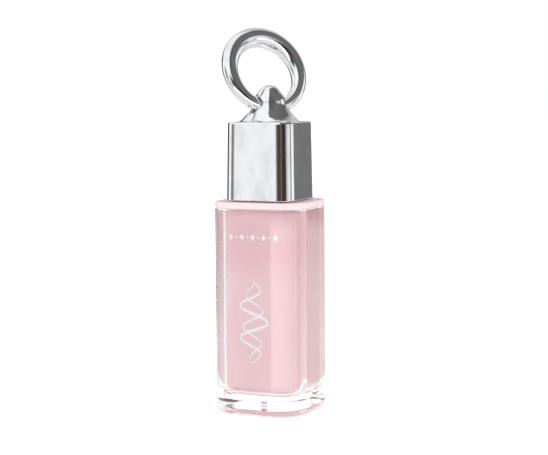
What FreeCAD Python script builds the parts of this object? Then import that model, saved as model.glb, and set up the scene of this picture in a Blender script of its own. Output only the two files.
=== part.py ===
import FreeCAD, Part
import math
import os

# Square lip gloss tube with a carry ring, in millimetres.
# +Z is up and the base stands on z = 0. The printed front face looks along -Y.
# The origin is the middle of the base.

# Bottle: a thick clear outer bottle with a heavy base
BOTTLE_SIDE = 20.0
BOTTLE_CORNER = 6.0
BOTTLE_HEIGHT = 41.9
BOTTLE_WALL = 1.9
BASE_THICKNESS = 3.7
BASE_EDGE_ROUND = 0.7
RIM_EDGE_ROUND = 0.3
FOOT_RECESS_SIDE = 14.4
FOOT_RECESS_CORNER = 4.0
FOOT_RECESS_DEPTH = 0.7
FOOT_RECESS_ROUND = 0.3
GATE_DIMPLE_RADIUS = 1.0
GATE_DIMPLE_DEPTH = 1.7
GATE_DIMPLE_ROUND = 0.7

# Vial: the coloured inner vessel, whose flange covers the bottle's rim
VIAL_GAP = 0.1
VIAL_WALL = 1.0
VIAL_BOTTOM_ROUND = 1.8
FLANGE_THICKNESS = 1.3
FLANGE_EDGE_ROUND = 0.35
SHOULDER_HEIGHT = 2.6
SHOULDER_RADIUS = 6.8
NECK_RADIUS = 4.3
NECK_BORE_RADIUS = 3.4
NECK_HEIGHT = 9.5
GLOSS_LEVEL = 36.0

# Screw thread: two rounded-off ridges on the neck and two in the cap's insert
THREAD_LEAD = 6.0
THREAD_STARTS = 2
RIDGE_HEIGHT = 0.55
RIDGE_ROOT_WIDTH = 1.0
RIDGE_CREST_WIDTH = 0.5
RIDGE_SINK = 0.2
RADIAL_CLEARANCE = 0.2
FLANK_CLEARANCE = 0.14
NECK_RIDGE_TURNS = 0.9
NECK_RIDGE_START = 1.9
INSERT_RIDGE_TURNS = 0.75

# Wiper: the soft plug in the neck
WIPER_HOLE_RADIUS = 1.85
WIPER_WALL = 0.6
WIPER_FLANGE_RADIUS = 4.15
WIPER_FLANGE_THICKNESS = 0.6
WIPER_TUBE_LENGTH = 5.5
WIPER_CONE_LENGTH = 2.6

# Cap: a chromed square shell with an eye post, around a threaded insert
CAP_GAP = 0.15
CAP_SIDE_LOW = 14.8
CAP_SIDE_TOP = 14.3
CAP_CORNER_LOW = 2.95
CAP_CORNER_TOP = 2.85
CAP_TOP = 59.3
CAP_TOP_EDGE_ROUND = 0.5
CAP_LOW_EDGE_ROUND = 0.2
CAP_HOLLOW_SIDE = 12.0
CAP_HOLLOW_CORNER = 1.8
CAP_ROOF_THICKNESS = 1.5
INSERT_SIDE = 11.9
INSERT_CORNER = 1.75
INSERT_RECESS = 0.35
INSERT_CEILING = 1.8
LINER_RADIUS = 4.65
LINER_HOLE_RADIUS = 1.85
LINER_THICKNESS = 0.8
LINER_GAP = 0.05

# Eye post: a rounded post that flares into the cap's top, with a cross hole for the ring
# Its outline is (radius, height above the cap's top), from the foot of the flare up to the domed tip
POST_FLARE = [(6.6, 0.0), (5.7, 0.45), (5.05, 1.05), (4.5, 1.75), (3.95, 2.5)]
POST_COLUMN = [(3.42, 3.55), (3.2, 4.5), (2.72, 5.45)]
POST_TIP_RADIUS = 2.35
POST_TIP_START = 6.5
POST_HEIGHT = 7.4
EYE_RADIUS = 1.85
EYE_HEIGHT = 3.2
EYE_EDGE_ROUND = 0.3
EYE_TURN_DEG = 50.0

# Wand: the stem in the insert, and the doe-foot applicator on its end
STEM_RADIUS = 1.7
STEM_HEAD_RADIUS = 3.0
STEM_HEAD_THICKNESS = 1.3
STEM_END = 19.0
STEM_END_ROUND = 0.3
TIP_END = 7.0
FLOCK_THICKNESS = 0.35
FLOCK_NECK_RADIUS = 1.35
FLOCK_BELLY_RADIUS = 1.68
FLOCK_BELLY_HEIGHT = 13.5
CORE_SHANK_RADIUS = 0.9
CORE_SHANK_LENGTH = 5.0
FOOT_SLANT_DEG = 15.0
FOOT_SLANT_OFFSET = 0.5
FOOT_SLANT_HEIGHT = 2.0
TIP_ROUND_HEIGHT = 1.0

# Carry ring: round wire, thicker opposite the eye, standing tipped back in the eye
RING_MEAN_RADIUS = 7.95
RING_WIRE_AT_EYE = 1.22
RING_WIRE_AT_TOP = 2.0
RING_SECTIONS = 25
RING_SEAM = 0.12
RING_DROP = 0.5
RING_YAW_DEG = 54.0
RING_LEAN_DEG = 24.0
RING_ROLL_DEG = 4.5

# Heights that follow from the sizes above
FLANGE_TOP = BOTTLE_HEIGHT + FLANGE_THICKNESS
NECK_TOP = FLANGE_TOP + NECK_HEIGHT
CAP_BOTTOM = FLANGE_TOP + CAP_GAP
CAP_ROOF = CAP_TOP - CAP_ROOF_THICKNESS
WIPER_TOP = NECK_TOP + WIPER_FLANGE_THICKNESS
LINER_BOTTOM = WIPER_TOP + LINER_GAP
INSERT_ROOF = LINER_BOTTOM + LINER_THICKNESS + LINER_GAP
INSERT_TOP = INSERT_ROOF + INSERT_CEILING
VIAL_SIDE = BOTTLE_SIDE - 2 * (BOTTLE_WALL + VIAL_GAP)
VIAL_CORNER = BOTTLE_CORNER - BOTTLE_WALL - VIAL_GAP
VIAL_BOTTOM = BASE_THICKNESS + VIAL_GAP
CAVITY_SIDE = VIAL_SIDE - 2 * VIAL_WALL
CAVITY_CORNER = VIAL_CORNER - VIAL_WALL
CAVITY_FLOOR = VIAL_BOTTOM + VIAL_WALL
CAVITY_ROUND = VIAL_BOTTOM_ROUND - VIAL_WALL
CAVITY_ROOF = BOTTLE_HEIGHT - SHOULDER_HEIGHT
WAND_CHANNEL_RADIUS = STEM_RADIUS + 0.2
WAND_CHANNEL_FLOOR = TIP_END - 0.3
INSERT_BORE_RADIUS = NECK_RADIUS + RIDGE_HEIGHT + RADIAL_CLEARANCE
EYE_CENTRE = CAP_TOP + EYE_HEIGHT

# How far a cutting tool runs past the face that it leaves by
OVERSHOOT = 1.0

Z = FreeCAD.Vector(0, 0, 1)


def vec(x, y, z):
    return FreeCAD.Vector(x, y, z)


def rounded_square(side, corner, z):
    """A closed outline at height z: a square with four corner arcs."""
    flat = side / 2 - corner
    half = side / 2
    diagonal = flat + corner * math.sqrt(0.5)
    edges = []
    for quarter in range(4):
        start = vec(half, -flat, z)
        end = vec(half, flat, z)
        corner_middle = vec(diagonal, diagonal, z)
        corner_end = vec(flat, half, z)
        straight = Part.LineSegment(start, end).toShape()
        bend = Part.Arc(end, corner_middle, corner_end).toShape()
        for piece in (straight, bend):
            piece.rotate(vec(0, 0, 0), Z, 90 * quarter)
            edges.append(piece)
    return Part.Wire(edges)


def prism(side, corner, low, high):
    """An upright rounded-square block."""
    face = Part.Face(rounded_square(side, corner, low))
    return face.extrude(vec(0, 0, high - low))


def cylinder(radius, low, high):
    return Part.makeCylinder(radius, high - low, vec(0, 0, low), Z)


def edges_at(shape, z):
    """The edges that lie in the level plane at height z."""
    level = []
    for edge in shape.Edges:
        box = edge.BoundBox
        if abs(box.ZMin - z) < 1e-4 and abs(box.ZMax - z) < 1e-4:
            level.append(edge)
    return level


def rounded_at(shape, z, radius):
    """The shape with its edges at height z rounded."""
    return shape.makeFillet(radius, edges_at(shape, z))


def turned(points):
    """A solid turned about the Z axis from (radius, height) points."""
    path = [vec(r, 0, z) for r, z in points]
    path.append(path[0])
    return Part.Face(Part.makePolygon(path)).revolve(vec(0, 0, 0), Z, 360)


def ridge(root_radius, outward, z_start, angle_deg, turns):
    """One helical thread ridge, sunk a little into the wall it stands on."""
    sign = 1 if outward else -1
    root = root_radius - sign * RIDGE_SINK
    crest = root_radius + sign * RIDGE_HEIGHT
    half_root = RIDGE_ROOT_WIDTH / 2
    half_crest = RIDGE_CREST_WIDTH / 2
    corners = [
        vec(root, 0, -half_root),
        vec(root_radius, 0, -half_root),
        vec(crest, 0, -half_crest),
        vec(crest, 0, half_crest),
        vec(root_radius, 0, half_root),
        vec(root, 0, half_root),
    ]
    profile = Part.makePolygon(corners + corners[:1])
    path = Part.makeHelix(THREAD_LEAD, THREAD_LEAD * turns, root_radius)
    solid = Part.Wire(path.Edges).makePipeShell([profile], True, True)
    solid.rotate(vec(0, 0, 0), Z, angle_deg)
    solid.translate(vec(0, 0, z_start))
    return solid


def thread(root_radius, outward, z_start, angle_deg, turns):
    """The ridges of every start, evenly spaced round the wall."""
    step = 360.0 / THREAD_STARTS
    return [ridge(root_radius, outward, z_start, angle_deg + step * k, turns) for k in range(THREAD_STARTS)]


def outer_bottle():
    body = prism(BOTTLE_SIDE, BOTTLE_CORNER, 0, BOTTLE_HEIGHT)
    body = rounded_at(body, 0, BASE_EDGE_ROUND)
    body = rounded_at(body, BOTTLE_HEIGHT, RIM_EDGE_ROUND)
    hollow_side = BOTTLE_SIDE - 2 * BOTTLE_WALL
    hollow_corner = BOTTLE_CORNER - BOTTLE_WALL
    hollow = prism(hollow_side, hollow_corner, BASE_THICKNESS, BOTTLE_HEIGHT + OVERSHOOT)
    hollow = rounded_at(hollow, BASE_THICKNESS, VIAL_BOTTOM_ROUND + VIAL_GAP)
    recess = prism(FOOT_RECESS_SIDE, FOOT_RECESS_CORNER, -OVERSHOOT, FOOT_RECESS_DEPTH)
    recess = rounded_at(recess, FOOT_RECESS_DEPTH, FOOT_RECESS_ROUND)
    dimple = cylinder(GATE_DIMPLE_RADIUS, 0, GATE_DIMPLE_DEPTH)
    dimple = rounded_at(dimple, GATE_DIMPLE_DEPTH, GATE_DIMPLE_ROUND)
    return body.cut(hollow).cut(recess).cut(dimple)


def vial_cavity():
    """The space inside the vial: a square room, a sloping shoulder and the neck's bore."""
    room = prism(CAVITY_SIDE, CAVITY_CORNER, CAVITY_FLOOR, CAVITY_ROOF)
    room = rounded_at(room, CAVITY_FLOOR, CAVITY_ROUND)
    foot = vec(0, 0, CAVITY_ROOF)
    shoulder = Part.makeCone(SHOULDER_RADIUS, NECK_BORE_RADIUS, SHOULDER_HEIGHT, foot, Z)
    bore = cylinder(NECK_BORE_RADIUS, CAVITY_ROOF + SHOULDER_HEIGHT / 2, NECK_TOP + OVERSHOOT)
    return room.fuse(shoulder).fuse(bore).removeSplitter()


def inner_vial():
    body = prism(VIAL_SIDE, VIAL_CORNER, VIAL_BOTTOM, BOTTLE_HEIGHT)
    body = rounded_at(body, VIAL_BOTTOM, VIAL_BOTTOM_ROUND)
    flange = prism(BOTTLE_SIDE, BOTTLE_CORNER, BOTTLE_HEIGHT, FLANGE_TOP)
    flange = rounded_at(flange, FLANGE_TOP, FLANGE_EDGE_ROUND)
    flange = rounded_at(flange, BOTTLE_HEIGHT, RIM_EDGE_ROUND)
    neck = cylinder(NECK_RADIUS, BOTTLE_HEIGHT, NECK_TOP)
    vial = body.fuse([flange, neck])
    ridges = thread(NECK_RADIUS, True, FLANGE_TOP + NECK_RIDGE_START, 0, NECK_RIDGE_TURNS)
    return vial.fuse(ridges).cut(vial_cavity()).removeSplitter()


def gloss_fill():
    room = prism(CAVITY_SIDE, CAVITY_CORNER, CAVITY_FLOOR, GLOSS_LEVEL)
    room = rounded_at(room, CAVITY_FLOOR, CAVITY_ROUND)
    channel = cylinder(WAND_CHANNEL_RADIUS, WAND_CHANNEL_FLOOR, GLOSS_LEVEL + OVERSHOOT)
    return room.cut(channel)


def wiper():
    tube_end = NECK_TOP - WIPER_TUBE_LENGTH
    cone_end = tube_end - WIPER_CONE_LENGTH
    bore = NECK_BORE_RADIUS - WIPER_WALL
    outline = [
        (bore, WIPER_TOP),
        (WIPER_FLANGE_RADIUS, WIPER_TOP),
        (WIPER_FLANGE_RADIUS, NECK_TOP),
        (NECK_BORE_RADIUS, NECK_TOP),
        (NECK_BORE_RADIUS, tube_end),
        (WIPER_HOLE_RADIUS + WIPER_WALL, cone_end),
        (WIPER_HOLE_RADIUS, cone_end),
        (WIPER_HOLE_RADIUS, cone_end + WIPER_WALL),
        (bore, tube_end + WIPER_WALL),
    ]
    return turned(outline)


def post_solid():
    """The eye post before its cross hole: a flare, a rounded column and a domed tip."""
    tip_rise = POST_TIP_START - POST_HEIGHT + POST_TIP_RADIUS
    tip_side = math.sqrt(POST_TIP_RADIUS**2 - tip_rise**2)
    points = [vec(r, 0, CAP_TOP + h) for r, h in POST_FLARE + POST_COLUMN]
    points.append(vec(tip_side, 0, CAP_TOP + POST_TIP_START))
    tip_centre = CAP_TOP + POST_HEIGHT - POST_TIP_RADIUS
    tip_tangent = vec(-tip_rise, 0, tip_side).normalize()
    side = Part.BSplineCurve()
    side.interpolate(Points=points, InitialTangent=vec(-1, 0, 0), FinalTangent=tip_tangent)
    middle_angle = (math.atan2(tip_rise, tip_side) + math.pi / 2) / 2
    middle_side = POST_TIP_RADIUS * math.cos(middle_angle)
    middle = vec(middle_side, 0, tip_centre + POST_TIP_RADIUS * math.sin(middle_angle))
    top = vec(0, 0, CAP_TOP + POST_HEIGHT)
    foot_low = vec(POST_FLARE[0][0], 0, CAP_TOP - CAP_ROOF_THICKNESS / 2)
    axis_low = vec(0, 0, CAP_TOP - CAP_ROOF_THICKNESS / 2)
    edges = [
        side.toShape(),
        Part.Arc(points[-1], middle, top).toShape(),
        Part.makeLine(top, axis_low),
        Part.makeLine(axis_low, foot_low),
        Part.makeLine(foot_low, points[0]),
    ]
    return Part.Face(Part.Wire(edges)).revolve(vec(0, 0, 0), Z, 360)


def eye_direction():
    turn = math.radians(EYE_TURN_DEG)
    return vec(math.cos(turn), math.sin(turn), 0)


def eye_edges(shape):
    """The two closed edges where the cross hole leaves the post."""
    along = eye_direction()
    centre = vec(0, 0, EYE_CENTRE)
    found = []
    for edge in shape.Edges:
        if edge.Degenerated:
            continue
        misses = []
        for point in edge.discretize(12):
            offset = point - centre
            axial = offset.dot(along)
            misses.append(abs((offset - along * axial).Length - EYE_RADIUS))
        if max(misses) < 1e-3:
            found.append(edge)
    return found


def cap_shell():
    low = rounded_square(CAP_SIDE_LOW, CAP_CORNER_LOW, CAP_BOTTOM)
    high = rounded_square(CAP_SIDE_TOP, CAP_CORNER_TOP, CAP_TOP)
    body = Part.makeLoft([low, high], True, True)
    body = rounded_at(body, CAP_TOP, CAP_TOP_EDGE_ROUND)
    body = rounded_at(body, CAP_BOTTOM, CAP_LOW_EDGE_ROUND)
    body = body.fuse(post_solid()).removeSplitter()
    along = eye_direction()
    hole_start = vec(0, 0, EYE_CENTRE) - along * BOTTLE_SIDE
    hole = Part.makeCylinder(EYE_RADIUS, 2 * BOTTLE_SIDE, hole_start, along)
    body = body.cut(hole)
    body = body.makeFillet(EYE_EDGE_ROUND, eye_edges(body))
    hollow = prism(CAP_HOLLOW_SIDE, CAP_HOLLOW_CORNER, CAP_BOTTOM - OVERSHOOT, CAP_ROOF)
    return body.cut(hollow)


def cap_insert():
    bottom = CAP_BOTTOM + INSERT_RECESS
    body = prism(INSERT_SIDE, INSERT_CORNER, bottom, INSERT_TOP)
    bore = cylinder(INSERT_BORE_RADIUS, bottom - OVERSHOOT, INSERT_ROOF)
    socket = cylinder(STEM_RADIUS, INSERT_ROOF - OVERSHOOT, INSERT_TOP + OVERSHOOT)
    # each ridge hangs just under a ridge of the neck, a quarter of a turn on from its start
    mean_width = (RIDGE_ROOT_WIDTH + RIDGE_CREST_WIDTH) / 2
    flank_slope = (RIDGE_ROOT_WIDTH - RIDGE_CREST_WIDTH) / (2 * RIDGE_HEIGHT)
    below = mean_width - flank_slope * RADIAL_CLEARANCE + FLANK_CLEARANCE
    quarter_rise = THREAD_LEAD / 4
    start = FLANGE_TOP + NECK_RIDGE_START + quarter_rise - below
    ridges = thread(INSERT_BORE_RADIUS, False, start, 90, INSERT_RIDGE_TURNS)
    return body.cut(bore).fuse(ridges).cut(socket).removeSplitter()


def cap_liner():
    disc = cylinder(LINER_RADIUS, LINER_BOTTOM, LINER_BOTTOM + LINER_THICKNESS)
    return disc.cut(cylinder(LINER_HOLE_RADIUS, LINER_BOTTOM - OVERSHOOT, INSERT_ROOF))


def wand_stem():
    shaft = cylinder(STEM_RADIUS, STEM_END, INSERT_TOP)
    shaft = rounded_at(shaft, STEM_END, STEM_END_ROUND)
    head = cylinder(STEM_HEAD_RADIUS, INSERT_TOP, INSERT_TOP + STEM_HEAD_THICKNESS)
    socket = cylinder(CORE_SHANK_RADIUS, STEM_END - OVERSHOOT, STEM_END + CORE_SHANK_LENGTH)
    return shaft.fuse(head).cut(socket)


def doe_foot(inset):
    """The applicator's outside, drawn in by inset: a round bud sliced to a slanted face."""
    neck = FLOCK_NECK_RADIUS - inset
    belly = FLOCK_BELLY_RADIUS - inset
    top = STEM_END - inset
    end = TIP_END + inset
    points = [
        vec(neck, 0, top),
        vec((neck + belly) / 2, 0, (top + FLOCK_BELLY_HEIGHT) / 2),
        vec(belly, 0, FLOCK_BELLY_HEIGHT),
        vec(belly * 0.93, 0, (FLOCK_BELLY_HEIGHT + end) / 2),
        vec(belly * 0.7, 0, end + TIP_ROUND_HEIGHT),
        vec(0, 0, end),
    ]
    curve = Part.BSplineCurve()
    curve.interpolate(Points=points, InitialTangent=vec(0, 0, -1), FinalTangent=vec(-1, 0, 0))
    axis_top = vec(0, 0, top)
    edges = [curve.toShape(), Part.makeLine(points[-1], axis_top), Part.makeLine(axis_top, points[0])]
    bud = Part.Face(Part.Wire(edges)).revolve(vec(0, 0, 0), Z, 360)
    side = 2 * BOTTLE_SIDE
    slab = Part.makeBox(side, side, side, vec(-side / 2, -side, -side / 2))
    slab.rotate(vec(0, 0, 0), vec(1, 0, 0), FOOT_SLANT_DEG)
    slab.translate(vec(0, -FOOT_SLANT_OFFSET + inset, TIP_END + FOOT_SLANT_HEIGHT))
    return bud.cut(slab)


def applicator_core():
    shank = cylinder(CORE_SHANK_RADIUS, STEM_END - OVERSHOOT, STEM_END + CORE_SHANK_LENGTH)
    return doe_foot(FLOCK_THICKNESS).fuse(shank).removeSplitter()


def applicator_flock():
    return doe_foot(0).cut(applicator_core())


def ring_section(angle):
    """The wire's round section at an angle from the eye, drawn in the ring's XZ plane."""
    middle = (RING_WIRE_AT_EYE + RING_WIRE_AT_TOP) / 2
    swing = (RING_WIRE_AT_TOP - RING_WIRE_AT_EYE) / 2
    radius = middle - swing * math.cos(angle)
    circle = Part.Circle(vec(0, 0, 0), vec(0, 1, 0), radius).toShape()
    circle.translate(vec(RING_MEAN_RADIUS, 0, 0))
    circle.rotate(vec(0, 0, 0), Z, math.degrees(angle))
    return Part.Wire([circle])


def carry_ring():
    """A round-wire ring with its butt seam hidden in the eye."""
    gap = RING_SEAM / 2 / RING_MEAN_RADIUS
    step = (2 * math.pi - 2 * gap) / (RING_SECTIONS - 1)
    sections = [ring_section(gap + step * k) for k in range(RING_SECTIONS)]
    ring = Part.makeLoft(sections, True, False)
    # from the drawing plane to a ring standing on its seam, its axis along -Y
    ring.rotate(vec(0, 0, 0), Z, -90)
    ring.rotate(vec(0, 0, 0), vec(1, 0, 0), 90)
    ring.translate(vec(0, 0, RING_MEAN_RADIUS - RING_DROP))
    # then rolled along its own wire, tipped back and turned about the middle of the eye
    ring.rotate(vec(0, 0, 0), vec(0, 1, 0), RING_ROLL_DEG)
    ring.rotate(vec(0, 0, 0), vec(1, 0, 0), -RING_LEAN_DEG)
    ring.rotate(vec(0, 0, 0), Z, RING_YAW_DEG)
    ring.translate(vec(0, 0, EYE_CENTRE))
    return ring


NODES = {
    "outer_bottle": outer_bottle,
    "inner_vial": inner_vial,
    "gloss_fill": gloss_fill,
    "wiper": wiper,
    "cap_shell": cap_shell,
    "cap_insert": cap_insert,
    "cap_liner": cap_liner,
    "wand_stem": wand_stem,
    "applicator_core": applicator_core,
    "applicator_flock": applicator_flock,
    "carry_ring": carry_ring,
}

os.makedirs("parts", exist_ok=True)
for name, make in NODES.items():
    shape = make()
    print(name, shape.isValid(), len(shape.Solids), round(shape.Volume, 2))
    shape.exportStep("parts/" + name + ".step")
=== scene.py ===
import math

import bmesh
import bpy
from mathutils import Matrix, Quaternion, Vector


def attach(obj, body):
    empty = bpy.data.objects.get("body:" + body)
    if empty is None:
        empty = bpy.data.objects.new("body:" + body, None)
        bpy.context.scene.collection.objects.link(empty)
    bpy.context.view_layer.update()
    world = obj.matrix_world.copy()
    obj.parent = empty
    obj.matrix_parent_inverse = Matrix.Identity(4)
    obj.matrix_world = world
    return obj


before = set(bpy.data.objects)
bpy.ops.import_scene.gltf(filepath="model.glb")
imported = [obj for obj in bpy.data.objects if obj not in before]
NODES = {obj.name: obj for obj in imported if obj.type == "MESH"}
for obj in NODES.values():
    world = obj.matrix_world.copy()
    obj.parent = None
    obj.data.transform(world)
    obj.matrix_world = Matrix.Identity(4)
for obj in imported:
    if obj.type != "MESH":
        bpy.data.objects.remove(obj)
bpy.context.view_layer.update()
SCENE = bpy.context.scene
MM = 0.001

# Printed marks: the vial's outline at its front, and the ink's lift off it
VIAL_HALF_SIDE = 8.0 * MM
VIAL_CORNER = 4.0 * MM
INK_LIFT = 0.04 * MM
INK_HALF_SIDE = VIAL_HALF_SIDE + INK_LIFT
INK_CORNER = VIAL_CORNER + INK_LIFT
FLAT_HALF = INK_HALF_SIDE - INK_CORNER

# A row of lozenges, large and small in turn, each with its half width and half height
ROW_HEIGHT = 36.2 * MM
ROW_PITCH = 1.2 * MM
ROW_COUNT = 9
LARGE_LOZENGE = (0.5 * MM, 0.75 * MM)
SMALL_LOZENGE = (0.26 * MM, 0.26 * MM)
LOZENGE_STEPS = 6
STROKE_TIP = 0.03 * MM

# A double wave of two ribbons: phase, reach to each side, swell of the stroke, and lift.
# The second ribbon lies a little over the first, so that they don't share faces where they cross.
WAVE_TOP = 27.5 * MM
WAVE_FOOT = 10.5 * MM
WAVE_TURNS = 2.5
WAVE_STEPS = 96
WAVE_THIN = 0.1 * MM
RIBBONS = (
    (0.0, 3.2 * MM, 0.62 * MM, 0.0),
    (2.1, 2.3 * MM, 0.34 * MM, 0.02 * MM),
)

# Heights over which the clear plastic's painted rose glow and the pink plastic's tint change
FOOT_GLOW_REACH = 10.0 * MM
BODY_TINT_REACH = 50.0 * MM

# Stage
NEAR_RADIUS = 0.033
TABLE_RADIUS = 0.16
STAGE_RADIUS = 3.0
STAGE_SEGMENTS = 96
BACKDROP_PROFILE = [(0.001, 4.5), (2.0, 4.0), (STAGE_RADIUS, 3.0), (STAGE_RADIUS, 0.0)]
FLOOR_GLOW = 0.30
ROOM_LIGHT = (1.15, 1.15, 1.15)

# Camera
CAMERA_AZIMUTH = math.radians(24.2)
CAMERA_PITCH = math.radians(5.69)
CAMERA_ROLL = math.radians(-0.34)
CAMERA_DISTANCE = 0.300
CAMERA_AIM = Vector((0.0, 0.0, 0.036))
CAMERA_SENSOR = 36.0
CAMERA_LENS = 95.4
CAMERA_SHIFT = (0.0065, 0.0128)


# ---------------------------------------------------------------- node helpers

def new_material(name):
    mat = bpy.data.materials.new(name)
    mat.use_nodes = True
    tree = mat.node_tree
    shader = tree.nodes["Principled BSDF"]
    return mat, tree, shader


def node(tree, kind, **settings):
    made = tree.nodes.new(kind)
    for key, value in settings.items():
        setattr(made, key, value)
    return made


def link(tree, a, b):
    tree.links.new(a, b)


def object_coords(tree):
    return node(tree, "ShaderNodeTexCoord").outputs["Object"]


def split(tree, vector):
    """The x, y and z of a vector."""
    s = node(tree, "ShaderNodeSeparateXYZ")
    link(tree, vector, s.inputs[0])
    return s.outputs


def noise(tree, coords, scale, detail=2.0, roughness=0.5, distortion=0.0):
    n = node(tree, "ShaderNodeTexNoise")
    n.inputs["Scale"].default_value = scale
    n.inputs["Detail"].default_value = detail
    n.inputs["Roughness"].default_value = roughness
    n.inputs["Distortion"].default_value = distortion
    link(tree, coords, n.inputs["Vector"])
    return n.outputs["Fac"]


def stretched(tree, coords, scale):
    m = node(tree, "ShaderNodeMapping")
    m.inputs["Scale"].default_value = scale
    link(tree, coords, m.inputs["Vector"])
    return m.outputs["Vector"]


def remap(tree, value, low, high, to_low, to_high, smooth=False):
    m = node(tree, "ShaderNodeMapRange")
    m.interpolation_type = "SMOOTHSTEP" if smooth else "LINEAR"
    m.inputs["From Min"].default_value = low
    m.inputs["From Max"].default_value = high
    m.inputs["To Min"].default_value = to_low
    m.inputs["To Max"].default_value = to_high
    link(tree, value, m.inputs["Value"])
    return m.outputs["Result"]


def maths(tree, operation, a, b=None):
    m = node(tree, "ShaderNodeMath", operation=operation)
    for socket, value in zip(m.inputs, (a, b)):
        if value is None:
            continue
        if isinstance(value, (int, float)):
            socket.default_value = value
        else:
            link(tree, value, socket)
    return m.outputs[0]


def ramp(tree, value, stops):
    """A ramp through (position, colour), where a colour may be one number for a grey."""
    r = node(tree, "ShaderNodeValToRGB")
    elements = r.color_ramp.elements
    while len(elements) > 1:
        elements.remove(elements[-1])
    for i, (position, colour) in enumerate(stops):
        if isinstance(colour, (int, float)):
            colour = (colour, colour, colour)
        element = elements.new(position) if i else elements[0]
        element.position = position
        element.color = (*colour, 1.0)
    link(tree, value, r.inputs["Fac"])
    return r.outputs["Color"]


def mix_colours(tree, factor, a, b):
    m = node(tree, "ShaderNodeMix", data_type="RGBA")
    for socket, value in ((m.inputs["Factor"], factor), (m.inputs[6], a), (m.inputs[7], b)):
        if isinstance(value, tuple):
            socket.default_value = (*value, 1.0)
        elif isinstance(value, (int, float)):
            socket.default_value = value
        else:
            link(tree, value, socket)
    return m.outputs[2]


def bump(tree, shader, height, strength, distance):
    b = node(tree, "ShaderNodeBump")
    b.inputs["Strength"].default_value = strength
    b.inputs["Distance"].default_value = distance
    link(tree, height, b.inputs["Height"])
    link(tree, b.outputs["Normal"], shader.inputs["Normal"])


def dress(name, mat):
    for s in NODES[name].material_slots:
        s.material = mat


# ---------------------------------------------------------------- materials

def clear_plastic():
    mat, tree, s = new_material("clear_plastic_moulded")
    s.inputs["Transmission Weight"].default_value = 1.0
    s.inputs["IOR"].default_value = 1.49
    co = object_coords(tree)
    # painted glow: a rose strip along the foot's lower edge, painted in to stand for the vial's pink
    # light carried down into the clear foot
    up = maths(tree, "DIVIDE", split(tree, co)[2], FOOT_GLOW_REACH)
    rose, clear = (1.0, 0.80, 0.825), (0.985, 0.975, 0.98)
    link(tree, ramp(tree, up, [(0.0, rose), (0.155, rose), (0.175, clear)]), s.inputs["Base Color"])
    smudge = noise(tree, stretched(tree, co, (1.0, 1.0, 0.35)), 420.0, 4.0, 0.55, 0.3)
    link(tree, remap(tree, smudge, 0.45, 0.75, 0.0, 0.035, True), s.inputs["Roughness"])
    flow = noise(tree, stretched(tree, co, (1.0, 1.0, 0.25)), 160.0, 1.0)
    bump(tree, s, flow, 0.25, 0.04 * MM)
    return mat


def pink_plastic():
    mat, tree, s = new_material("pink_plastic_moulded")
    co = object_coords(tree)
    cloud = noise(tree, co, 90.0, 3.0)
    # paler low down, stronger in the upper body, and palest in the collar
    up = maths(tree, "DIVIDE", split(tree, co)[2], BODY_TINT_REACH)
    lower_body, upper_body, collar = (0.91, 0.63, 0.665), (0.88, 0.545, 0.595), (0.89, 0.70, 0.725)
    tint = ramp(tree, up, [(0.0, lower_body), (0.54, lower_body), (0.64, upper_body),
                           (0.830, upper_body), (0.838, collar), (1.0, collar)])
    soft = mix_colours(tree, remap(tree, cloud, 0.35, 0.65, 0.0, 0.12, True), tint, (0.93, 0.72, 0.75))
    link(tree, soft, s.inputs["Base Color"])
    s.inputs["IOR"].default_value = 1.5
    s.inputs["Subsurface Weight"].default_value = 0.35
    s.inputs["Subsurface Radius"].default_value = (1.0, 0.55, 0.5)
    s.inputs["Subsurface Scale"].default_value = 1.2 * MM
    grain = noise(tree, co, 2600.0, 3.0)
    link(tree, remap(tree, grain, 0.3, 0.7, 0.24, 0.34), s.inputs["Roughness"])
    bump(tree, s, grain, 0.12, 0.02 * MM)
    return mat


def chrome():
    mat, tree, s = new_material("chrome_plated")
    s.inputs["Metallic"].default_value = 1.0
    co = object_coords(tree)
    haze = noise(tree, stretched(tree, co, (1.0, 1.0, 0.6)), 260.0, 4.0, 0.6, 0.4)
    link(tree, mix_colours(tree, remap(tree, haze, 0.4, 0.7, 0.0, 1.0, True),
                           (0.94, 0.945, 0.955), (0.80, 0.805, 0.82)), s.inputs["Base Color"])
    link(tree, remap(tree, haze, 0.4, 0.75, 0.03, 0.12, True), s.inputs["Roughness"])
    wave = noise(tree, co, 210.0, 1.0)
    bump(tree, s, wave, 0.25, 0.03 * MM)
    return mat


def gloss_gel():
    mat, tree, s = new_material("gloss_gel")
    co = object_coords(tree)
    swirl = noise(tree, stretched(tree, co, (1.0, 1.0, 0.5)), 140.0, 3.0, 0.5, 1.2)
    link(tree, mix_colours(tree, remap(tree, swirl, 0.35, 0.65, 0.0, 1.0, True),
                           (0.80, 0.40, 0.46), (0.88, 0.50, 0.55)), s.inputs["Base Color"])
    s.inputs["Subsurface Weight"].default_value = 0.5
    s.inputs["Subsurface Radius"].default_value = (1.0, 0.5, 0.5)
    s.inputs["Subsurface Scale"].default_value = 2.0 * MM
    s.inputs["Coat Weight"].default_value = 0.6
    s.inputs["Coat Roughness"].default_value = 0.03
    link(tree, remap(tree, swirl, 0.3, 0.7, 0.06, 0.16), s.inputs["Roughness"])
    return mat


def moulded(name, low, high, rough, subsurface=0.2):
    """A moulded plastic whose colour drifts between low and high."""
    mat, tree, s = new_material(name)
    co = object_coords(tree)
    cloud = noise(tree, co, 110.0, 3.0)
    link(tree, mix_colours(tree, remap(tree, cloud, 0.35, 0.65, 0.0, 1.0, True), low, high),
         s.inputs["Base Color"])
    s.inputs["Subsurface Weight"].default_value = subsurface
    s.inputs["Subsurface Radius"].default_value = (1.0, 0.9, 0.8)
    s.inputs["Subsurface Scale"].default_value = 0.8 * MM
    grain = noise(tree, co, 2200.0, 4.0)
    link(tree, remap(tree, grain, 0.3, 0.7, rough - 0.06, rough + 0.06), s.inputs["Roughness"])
    bump(tree, s, grain, 0.3, 0.012 * MM)
    return mat


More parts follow.
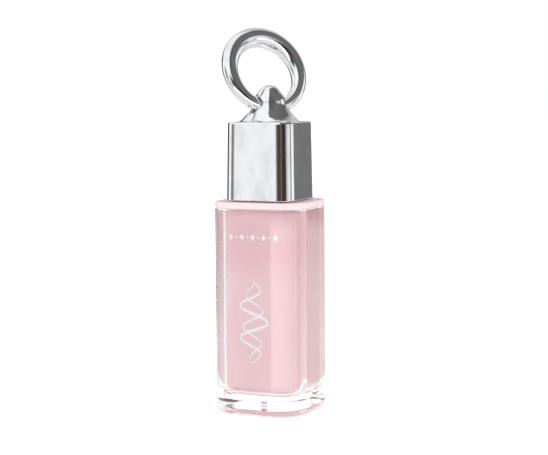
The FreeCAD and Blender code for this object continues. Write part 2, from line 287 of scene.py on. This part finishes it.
def foam():
    mat, tree, s = new_material("liner_foamed")
    co = object_coords(tree)
    cells = node(tree, "ShaderNodeTexVoronoi")
    cells.inputs["Scale"].default_value = 5200.0
    link(tree, co, cells.inputs["Vector"])
    link(tree, ramp(tree, cells.outputs["Distance"],
                    [(0.0, (0.80, 0.80, 0.78)), (0.45, (0.94, 0.94, 0.93))]),
         s.inputs["Base Color"])
    s.inputs["Roughness"].default_value = 0.85
    bump(tree, s, cells.outputs["Distance"], 0.6, 0.05 * MM)
    return mat


def flock():
    mat, tree, s = new_material("flock_fibre")
    co = object_coords(tree)
    tufts = noise(tree, co, 3200.0, 5.0, 0.7)
    link(tree, ramp(tree, tufts, [(0.3, (0.72, 0.50, 0.52)), (0.7, (0.95, 0.80, 0.81))]),
         s.inputs["Base Color"])
    s.inputs["Roughness"].default_value = 0.95
    s.inputs["Sheen Weight"].default_value = 0.6
    s.inputs["Sheen Roughness"].default_value = 0.4
    bump(tree, s, tufts, 0.9, 0.12 * MM)
    return mat


def white_ink():
    mat, tree, s = new_material("white_ink")
    co = object_coords(tree)
    spread = noise(tree, co, 3000.0, 4.0, 0.6)
    link(tree, ramp(tree, spread, [(0.3, (0.95, 0.90, 0.93)), (0.7, (0.99, 0.96, 0.98))]),
         s.inputs["Base Color"])
    link(tree, remap(tree, spread, 0.3, 0.7, 0.4, 0.6), s.inputs["Roughness"])
    bump(tree, s, spread, 0.3, 0.01 * MM)
    return mat


CHROME = chrome()
dress("outer_bottle", clear_plastic())
dress("inner_vial", pink_plastic())
dress("gloss_fill", gloss_gel())
dress("wiper", moulded("wiper_soft", (0.86, 0.85, 0.83), (0.93, 0.93, 0.91), 0.45, subsurface=0.5))
dress("cap_shell", CHROME)
dress("carry_ring", CHROME)
dress("cap_insert", moulded("insert_moulded", (0.84, 0.84, 0.83), (0.91, 0.91, 0.90), 0.42))
dress("cap_liner", foam())
dress("wand_stem", moulded("stem_moulded", (0.74, 0.71, 0.70), (0.80, 0.77, 0.76), 0.36))
dress("applicator_core", moulded("core_moulded", (0.84, 0.80, 0.79), (0.92, 0.89, 0.88), 0.34))
dress("applicator_flock", flock())


# ---------------------------------------------------------------- printed marks
# Plain ornament in white ink on the vial's front, under the clear wall: a row of small lozenges
# over a long double wave. None of it is lettering.

def on_vial(u, z, lift):
    """The point u along the vial's outline from the middle of its front, at height z."""
    beyond = abs(u) - FLAT_HALF
    side = 1.0 if u >= 0 else -1.0
    if beyond <= 0:
        return Vector((u, -INK_HALF_SIDE - lift, z))
    turn = beyond / INK_CORNER
    x = FLAT_HALF + (INK_CORNER + lift) * math.sin(turn)
    y = -(FLAT_HALF + (INK_CORNER + lift) * math.cos(turn))
    return Vector((side * x, y, z))


def ribbon(bm, points, widths, lift=0.0):
    """A flat stroke through points (u, z), with its width at each."""
    last = len(points) - 1
    rows = []
    for i, (u, z) in enumerate(points):
        before = points[max(0, i - 1)]
        after = points[min(last, i + 1)]
        du, dz = after[0] - before[0], after[1] - before[1]
        size = math.hypot(du, dz) or 1.0
        nu, nz = -dz / size * widths[i] / 2, du / size * widths[i] / 2
        rows.append((bm.verts.new(on_vial(u + nu, z + nz, lift)),
                     bm.verts.new(on_vial(u - nu, z - nz, lift))))
    for (a, b), (c, d) in zip(rows, rows[1:]):
        bm.faces.new((a, b, d, c))


def lozenge(bm, u, z, half_wide, half_tall):
    points, widths = [], []
    for i in range(LOZENGE_STEPS + 1):
        t = i / LOZENGE_STEPS
        points.append((u - half_wide + 2 * half_wide * t, z))
        widths.append(max(STROKE_TIP, 2 * half_tall * (1 - abs(2 * t - 1))))
    ribbon(bm, points, widths)


def wave_ribbon(bm, phase, reach, swell_width, lift):
    """One ribbon of the wave, which swells in its middle and thins towards its ends."""
    points, widths = [], []
    for i in range(WAVE_STEPS + 1):
        t = i / WAVE_STEPS
        swell = math.sin(math.pi * t) ** 0.6
        angle = 2 * math.pi * WAVE_TURNS * t + phase
        points.append((reach * swell * math.sin(angle), WAVE_TOP + (WAVE_FOOT - WAVE_TOP) * t))
        widths.append(WAVE_THIN + swell_width * swell * (0.45 + 0.55 * math.cos(angle) ** 2))
    ribbon(bm, points, widths, lift)


def front_print():
    bm = bmesh.new()
    for i in range(ROW_COUNT):
        half_wide, half_tall = SMALL_LOZENGE if i % 2 else LARGE_LOZENGE
        lozenge(bm, (i - ROW_COUNT // 2) * ROW_PITCH, ROW_HEIGHT, half_wide, half_tall)
    for shape in RIBBONS:
        wave_ribbon(bm, *shape)
    mesh = bpy.data.meshes.new("front_print")
    bm.to_mesh(mesh)
    bm.free()
    ob = bpy.data.objects.new("front_print", mesh)
    SCENE.collection.objects.link(ob)
    ob.data.materials.append(white_ink())
    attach(ob, "bottle")


front_print()


# ---------------------------------------------------------------- stage

def stage_surface(name, profile, mat, **seen_by):
    """A surface turned about the z axis from (radius, height) points, where radius 0 is a point."""
    bm = bmesh.new()
    rings = []
    for r, z in profile:
        turns = [2 * math.pi * i / STAGE_SEGMENTS for i in range(STAGE_SEGMENTS)] if r > 0 else [0.0]
        rings.append([bm.verts.new((r * math.cos(a), r * math.sin(a), z)) for a in turns])
    for inner, outer in zip(rings, rings[1:]):
        for i in range(STAGE_SEGMENTS):
            j = (i + 1) % STAGE_SEGMENTS
            if len(inner) == 1:
                bm.faces.new((inner[0], outer[i], outer[j]))
            else:
                bm.faces.new((inner[i], outer[i], outer[j], inner[j]))
    mesh = bpy.data.meshes.new(name)
    bm.to_mesh(mesh)
    bm.free()
    ob = bpy.data.objects.new(name, mesh)
    SCENE.collection.objects.link(ob)
    mesh.materials.append(mat)
    for key, value in seen_by.items():
        setattr(ob, key, value)


def floor_material():
    mat, tree, s = new_material("pale_floor")
    co = object_coords(tree)
    grain = noise(tree, co, 900.0, 3.0)
    link(tree, mix_colours(tree, grain, (0.93, 0.93, 0.93), (0.95, 0.95, 0.95)), s.inputs["Base Color"])
    s.inputs["Roughness"].default_value = 0.6
    s.inputs["Specular IOR Level"].default_value = 0.2
    s.inputs["Emission Color"].default_value = (1.0, 1.0, 1.0, 1.0)
    s.inputs["Emission Strength"].default_value = FLOOR_GLOW
    return mat


def backdrop_material():
    mat = bpy.data.materials.new("backdrop_white")
    mat.use_nodes = True
    tree = mat.node_tree
    tree.nodes.clear()
    out = node(tree, "ShaderNodeOutputMaterial")
    em = node(tree, "ShaderNodeEmission")
    em.inputs["Color"].default_value = (1.0, 1.0, 1.0, 1.0)
    em.inputs["Strength"].default_value = 1.0
    link(tree, em.outputs[0], out.inputs["Surface"])
    return mat


# Only the floor near the object shows in reflections and through the clear plastic.
# The far floor and the backdrop are there for the camera alone.
FLOOR = floor_material()
UNMIRRORED = {"visible_glossy": False, "visible_transmission": False}
CAMERA_ONLY = {**UNMIRRORED, "visible_diffuse": False, "visible_shadow": False}
stage_surface("floor", [(0.0, 0.0), (NEAR_RADIUS, 0.0)], FLOOR)
stage_surface("floor_around", [(NEAR_RADIUS, 0.0), (TABLE_RADIUS, 0.0)], FLOOR, **UNMIRRORED)
stage_surface("floor_beyond", [(TABLE_RADIUS, 0.0), (STAGE_RADIUS, 0.0)], FLOOR, **CAMERA_ONLY)
stage_surface("backdrop", BACKDROP_PROFILE, backdrop_material(), **CAMERA_ONLY)


# ---------------------------------------------------------------- sky
# Directions are azimuths in degrees, 0 straight out of the front and 90 out of the right face,
# and heights in degrees above the level.

def at(deg):
    """The place of an azimuth on a ramp."""
    return (deg + 180.0) / 360.0


def mirrored_sky(tree, azimuth, height):
    """The room that chrome and the outside of the clear wall mirror: light and dark uprights."""
    level = ramp(tree, azimuth, [
        (at(-180), 0.5), (at(-164), 0.6), (at(-150), 0.08), (at(-104), 0.08), (at(-95), 1.0),
        (at(-70), 1.0), (at(-65), 0.2), (at(-44), 0.3), (at(-37), 0.9), (at(-18), 0.95),
        (at(-9), 0.10), (at(16), 0.04), (at(25), (0.24, 0.12, 0.11)), (at(30), (0.17, 0.08, 0.075)),
        (at(38), 0.03), (at(60), 0.04), (at(70), 0.5), (at(84), 0.8), (at(102), 0.85),
        (at(107), 0.2), (at(113), 0.25), (at(118), 1.0), (at(143), 1.0), (at(151), 0.17),
        (at(170), 0.22), (at(180), 0.5)])
    lower = ramp(tree, azimuth, [
        (at(-180), 0.3), (at(-100), 0.3), (at(-94), 0.9), (at(-70), 0.9), (at(-60), 0.5),
        (at(-18), 0.6), (at(-13), 2.6), (at(20), 2.2), (at(77), 1.9), (at(83), 2.6), (at(88), 2.6),
        (at(93), 0.5), (at(145), 0.9), (at(168), 0.9), (at(176), 0.3), (at(180), 0.3)])
    high = ramp(tree, azimuth, [
        (at(-180), 0.6), (at(-150), 0.6), (at(-130), 1.0), (at(10), 1.0), (at(24), 0.10),
        (at(80), 0.16), (at(150), 0.12), (at(175), 0.6)])
    top = ramp(tree, azimuth, [
        (at(-180), 1.0), (at(0), 1.0), (at(24), 0.16), (at(150), 0.16), (at(170), 1.0)])
    sinking = remap(tree, height, -5.6, -4.9, 1.0, 0.0, True)
    rising = remap(tree, height, 14.0, 26.0, 0.0, 1.0, True)
    crown = remap(tree, height, 64.0, 74.0, 0.0, 1.0, True)
    below = remap(tree, height, -22.0, -12.0, 1.0, 0.0, True)
    sky = mix_colours(tree, sinking, level, lower)
    sky = mix_colours(tree, rising, sky, high)
    sky = mix_colours(tree, crown, sky, top)
    return mix_colours(tree, below, sky, (0.85, 0.85, 0.85))


def sky_through_plastic(tree, turn, azimuth, height):
    """The room seen through the clear plastic: bright in front and above, rose behind."""
    around = ramp(tree, azimuth, [
        (at(-180), (0.60, 0.38, 0.42)), (at(-135), (0.60, 0.40, 0.43)),
        (at(-92), (0.60, 0.47, 0.49)), (at(-86), 1.1), (at(-60), 1.4), (at(-30), 1.6),
        (at(-22), 1.7), (at(-17), 2.4), (at(-12), 2.4), (at(60), 1.4), (at(98), 2.4),
        (at(150), 3.2), (at(158), (0.80, 0.51, 0.52)), (at(178), (0.80, 0.51, 0.52)),
        (at(180), (0.60, 0.38, 0.42))])
    beside = ramp(tree, azimuth, [
        (at(-180), (0.62, 0.40, 0.43)), (at(-145), (0.60, 0.37, 0.40)),
        (at(-124), (0.60, 0.42, 0.45)), (at(-104), (0.62, 0.48, 0.51)), (at(-90), 1.1),
        (at(-60), 1.5), (at(-22), 1.9), (at(-15), 2.4), (at(78), 1.4),
        (at(84), (0.86, 0.60, 0.62)), (at(96), (0.80, 0.51, 0.53)),
        (at(178), (0.80, 0.51, 0.53)), (at(180), (0.62, 0.40, 0.43))])
    off_level = maths(tree, "ABSOLUTE", maths(tree, "ADD", height, 8.2))
    level = remap(tree, off_level, 4.6, 5.4, 1.0, 0.0, True)
    aback = remap(tree, maths(tree, "ABSOLUTE", turn),
                  math.radians(96.0), math.radians(104.0), 0.0, 1.0, True)
    raised = remap(tree, height, -2.0, 1.0, 0.0, 1.0, True)
    low_down = remap(tree, height, -10.0, -5.5, 0.30, 0.0)
    beneath = remap(tree, height, -16.0, -13.0, 1.0, 0.0, True)
    sky = mix_colours(tree, level, around, beside)
    sky = mix_colours(tree, maths(tree, "MULTIPLY", aback, raised), sky, (1.1, 1.1, 1.12))
    sky = mix_colours(tree, low_down, sky, (1.1, 1.08, 1.08))
    return mix_colours(tree, beneath, sky, (1.2, 1.2, 1.2))


def studio_world():
    """One sky for mirrored rays, one for rays through the plastic, and an even white for the rest."""
    world = bpy.data.worlds.new("studio")
    SCENE.world = world
    world.use_nodes = True
    tree = world.node_tree
    tree.nodes.clear()
    out = node(tree, "ShaderNodeOutputWorld")
    background = node(tree, "ShaderNodeBackground")
    link(tree, background.outputs[0], out.inputs["Surface"])
    x, y, z = split(tree, node(tree, "ShaderNodeTexCoord").outputs["Generated"])
    turn = maths(tree, "ARCTAN2", x, maths(tree, "MULTIPLY", y, -1.0))
    azimuth = remap(tree, turn, -math.pi, math.pi, 0.0, 1.0)
    height = maths(tree, "MULTIPLY", maths(tree, "ARCSINE", z), 180.0 / math.pi)
    rays = node(tree, "ShaderNodeLightPath").outputs
    # a ray through slightly rough plastic counts as glossy too, and isn't a mirrored one
    mirrored = maths(tree, "MAXIMUM",
                     maths(tree, "SUBTRACT", rays["Is Glossy Ray"], rays["Is Transmission Ray"]), 0.0)
    seen = mix_colours(tree, mirrored, ROOM_LIGHT, mirrored_sky(tree, azimuth, height))
    seen = mix_colours(tree, rays["Is Transmission Ray"], seen,
                       sky_through_plastic(tree, turn, azimuth, height))
    link(tree, seen, background.inputs["Color"])


studio_world()


# ---------------------------------------------------------------- camera

camera_data = bpy.data.cameras.new("camera")
camera = bpy.data.objects.new("camera", camera_data)
SCENE.collection.objects.link(camera)
SCENE.camera = camera
back = Vector((math.sin(CAMERA_AZIMUTH) * math.cos(CAMERA_PITCH),
               -math.cos(CAMERA_AZIMUTH) * math.cos(CAMERA_PITCH),
               math.sin(CAMERA_PITCH)))
camera.location = CAMERA_AIM + back * CAMERA_DISTANCE
camera.rotation_mode = "QUATERNION"
camera.rotation_quaternion = (-back).to_track_quat("-Z", "Y") @ Quaternion((0.0, 0.0, 1.0), CAMERA_ROLL)
camera_data.sensor_width = CAMERA_SENSOR
camera_data.lens = CAMERA_LENS
camera_data.shift_x, camera_data.shift_y = CAMERA_SHIFT
camera_data.clip_start = 0.01
camera_data.clip_end = 10.0

SCENE.view_settings.view_transform = "Standard"
# The clear walls need many bounces: with few, rays that end inside them leave black lines.
SCENE.cycles.max_bounces = 32
SCENE.cycles.glossy_bounces = 24
SCENE.cycles.transmission_bounces = 32
